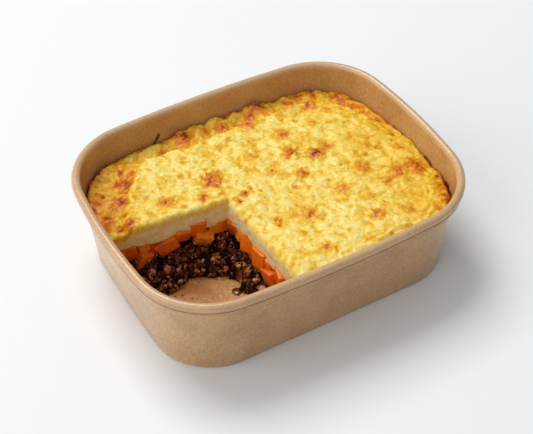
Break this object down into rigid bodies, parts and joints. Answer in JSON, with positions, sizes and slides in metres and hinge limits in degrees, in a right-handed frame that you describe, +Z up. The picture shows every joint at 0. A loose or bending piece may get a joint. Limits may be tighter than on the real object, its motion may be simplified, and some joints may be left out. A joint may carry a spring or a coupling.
{
  "type": "shepherds pie in a paperboard tray",
  "caption": "Shepherd's pie of mince, diced carrot and browned mash in a rectangular kraft paperboard tray with a rolled rim, a corner portion cut away so the layers show.",
  "frame": {"origin": "on the ground under the middle of the tray", "axes": "+X along the tray's long side, +Y towards its back, +Z up; the missing portion lay in the -X, -Y corner"},
  "size_m": [0.17, 0.135, 0.049],
  "materials": {
    "tray_wall": "matt brown kraft board with fine fibres",
    "tray_base": "kraft board darkened by grease",
    "mince": "dark brown cooked mince, wet with gravy",
    "carrot": "cooked orange carrot, slightly wet",
    "mash": "creamy mashed potato with a golden, blistered top"
  },
  "bodies": {
    "root": {"tray_wall": "tray_wall", "tray_base": "tray_base", "mince_layer": "mince", "carrot_layer": "carrot", "mash_layer": "mash"}
  },
  "joints": []
}
